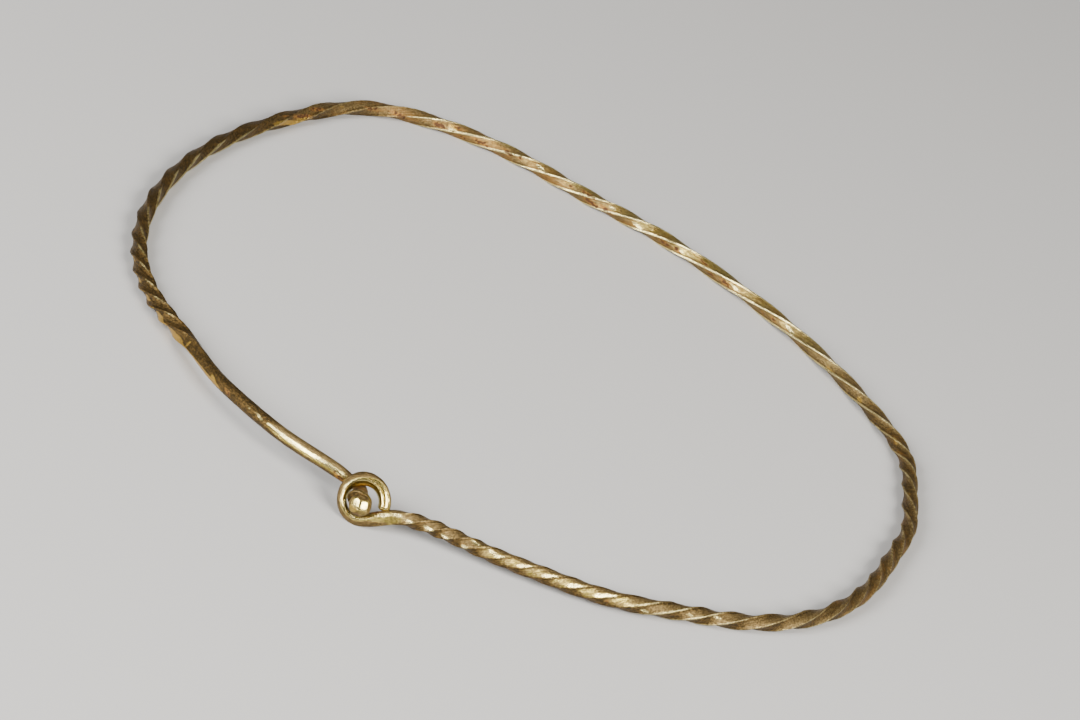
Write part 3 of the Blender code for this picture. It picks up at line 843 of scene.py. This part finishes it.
def old_gold():
    finish = Finish("old gold")
    bar = finish.node("Attribute", {"attribute_name": "bar"}, output=1)
    crest, polish, darkened, browned, pitted_and_shaded, rubbed_and_reflected = (
        finish.node("Attribute", {"attribute_name": name}, output=2)
        for name in ("crest", "polish", "darkened", "browned", "pitted_and_shaded", "rubbed_and_reflected"))
    skin_place = finish.stretched(bar, (1.0, 0.6, 0.6))
    grain = finish.blotches(skin_place, 0.36, 2.0, 0.6)
    speckle = finish.blotches(skin_place, 0.62, 3.0, 0.7)
    mottle = finish.blotches(skin_place, 1.3, 4.0, 0.6)
    cloud = finish.blotches(bar, 5.0, 2.0, 0.5)
    spots = finish.blotches(skin_place, 0.75, 1.0, 0.5)
    streak = finish.blotches(finish.stretched(bar, (0.14, 1.4, 1.4)), 0.5, 3.0, 0.65)

    bare = (polish + 0.9 * (mottle - 0.5) + 0.6 * (speckle - 0.5)).between(0.30, 0.85)
    # Pale gold where the crests are worn, and on the burnished spots and painted glints.
    wear_and_glint = (crest + 0.5 * (mottle - 0.5) + 0.5 * (grain - 0.5)).between(0.30, 0.85)
    # The film carries the painted shade too, and pushes the gold towards olive.
    film_and_shade = (darkened + 0.8 * (mottle - 0.5) + 0.4 * (cloud - 0.5)).between(0.15, 0.95)
    stain = (browned + 1.1 * (cloud - 0.5) + 0.9 * (mottle - 0.5)).between(0.35, 0.95)
    sore_and_shaded = (pitted_and_shaded + 0.9 * (mottle - 0.5)).between(0.15, 0.80)
    hole = (0.8 * pitted_and_shaded + 2.0 * (spots - 0.5) + 0.5 * (grain - 0.5)).between(0.50, 0.62)
    gloss = polish.between(1.05, 1.20)
    # Rubbed yellow patches and the painted ochre reflection.
    rubbed_and_reflected = (rubbed_and_reflected + 0.6 * (mottle - 0.5) + 0.6 * (speckle - 0.5)).between(0.30, 0.75)

    tone = 0.5 + 0.6 * (mottle - 0.5) + 1.3 * (speckle - 0.5)
    tone = tone + 1.8 * (grain - 0.5) + 0.9 * (streak - 0.5)
    grime = finish.blend(tone.between(0.28, 0.76), TAN, LIGHT_TAN)
    dirt = finish.blend(tone.between(0.36, 0.76), KHAKI, UMBER)
    grime = finish.blend(film_and_shade * 0.9, grime, dirt)
    brightness = (tone + 0.5 * (streak - 0.5) - 0.45 * film_and_shade).between(0.34, 0.66)
    gold = finish.blend(brightness, OLIVE_GOLD, GOLD)
    gold = finish.blend(gloss * 0.35, gold, PALE_GOLD)
    colour = finish.blend(bare, grime, gold)
    colour = finish.blend(stain * 0.5, colour, RUST)
    colour = finish.blend(sore_and_shaded * 0.75, colour, RUST)
    colour = finish.blend(rubbed_and_reflected * 0.9, colour, OCHRE_GOLD)
    colour = finish.blend(wear_and_glint * 0.9, colour, PALE_GOLD)
    colour = finish.blend(hole * 0.9, colour, DARK_BROWN)
    metal = (bare + wear_and_glint + 0.8 * rubbed_and_reflected).between(0.0, 1.0)
    rough = 0.50 - 0.20 * metal - 0.11 * gloss - 0.05 * wear_and_glint
    rough = rough + 0.16 * (speckle - 0.5) * (1.0 - 0.6 * gloss) + 0.08 * sore_and_shaded
    metallic = 0.86 + 0.14 * metal - 0.05 * sore_and_shaded - 0.25 * hole
    finish.set(Base_Color=colour, Roughness=rough, Metallic=metallic)
    rugged = 1.0 - 0.45 * bare - 0.40 * gloss
    height = rugged * (1.2 * speckle + 0.6 * grain + 0.9 * streak + 0.5 * mottle) - 0.8 * hole
    roughening = {"Strength": GRAIN_STRENGTH, "Distance": GRAIN_HEIGHT, "Height": height}
    bump = finish.node("Bump", {}, roughening)
    finish.set(Normal=bump)
    return finish.material


def pale_floor():
    finish = Finish("pale floor")
    finish.set(Base_Color=(0.45, 0.44, 0.427, 1.0), Roughness=0.9)
    return finish.material


# ---------------------------------------------------------------------------
# Studio
# ---------------------------------------------------------------------------

CAMERA_PLACE = (0.193, -673.904, 375.847)
CAMERA_ACROSS = (0.9165, 0.1928, 0.3505)
CAMERA_DOWN = (0.4000, -0.4448, -0.8013)
LENS = 133.33


def floor():
    mesh = bpy.data.meshes.new("floor")
    half = 6.0
    corners = [(-half, -half, 0.0), (half, -half, 0.0), (half, half, 0.0), (-half, half, 0.0)]
    mesh.from_pydata(corners, [], [(0, 1, 2, 3)])
    plane = bpy.data.objects.new("floor", mesh)
    bpy.context.scene.collection.objects.link(plane)
    plane.data.materials.append(pale_floor())


def soft_light(name, direction, distance, size, watts, colour):
    """A square soft light that faces the torc from the given direction."""
    lamp = bpy.data.lights.new(name, "AREA")
    lamp.shape = "RECTANGLE"
    lamp.size, lamp.size_y = size
    lamp.energy = watts
    lamp.color = colour
    holder = bpy.data.objects.new(name, lamp)
    place = Vector(direction).normalized() * distance
    holder.location = place
    holder.rotation_euler = place.to_track_quat("Z", "Y").to_euler()
    bpy.context.scene.collection.objects.link(holder)


def lights():
    soft_light("left soft light", (-0.597, -0.642, 0.481), 1.0, (0.50, 0.50), 22.0, (0.98, 0.98, 0.98))
    soft_light("right soft light", (0.565, -0.629, 0.533), 1.0, (0.50, 0.45), 22.0, (1.0, 0.98, 0.94))
    soft_light("back soft light", (0.10, 0.60, 0.79), 1.3, (1.50, 1.00), 2.6, (1.0, 0.98, 0.94))
    world = bpy.data.worlds.new("studio")
    world.use_nodes = True
    world.node_tree.nodes["Background"].inputs["Color"].default_value = (1.0, 1.0, 1.0, 1.0)
    world.node_tree.nodes["Background"].inputs["Strength"].default_value = 0.10
    bpy.context.scene.world = world


def camera():
    lens = bpy.data.cameras.new("camera")
    lens.lens = LENS
    lens.sensor_width = 36.0
    lens.clip_start = 0.05
    lens.clip_end = 50.0
    view = bpy.data.objects.new("camera", lens)
    across = Vector(CAMERA_ACROSS).normalized()
    up = -Vector(CAMERA_DOWN)
    back = across.cross(up).normalized()
    up = back.cross(across)
    turn = Matrix((across, up, back)).transposed().to_4x4()
    view.matrix_world = Matrix.Translation(Vector(CAMERA_PLACE) * METRE) @ turn
    bpy.context.scene.collection.objects.link(view)
    bpy.context.scene.camera = view


def main():
    torc = torc_piece()
    torc.data.materials.append(old_gold())
    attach(torc, "root")
    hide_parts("torc")
    camera()
    floor()
    lights()


main()
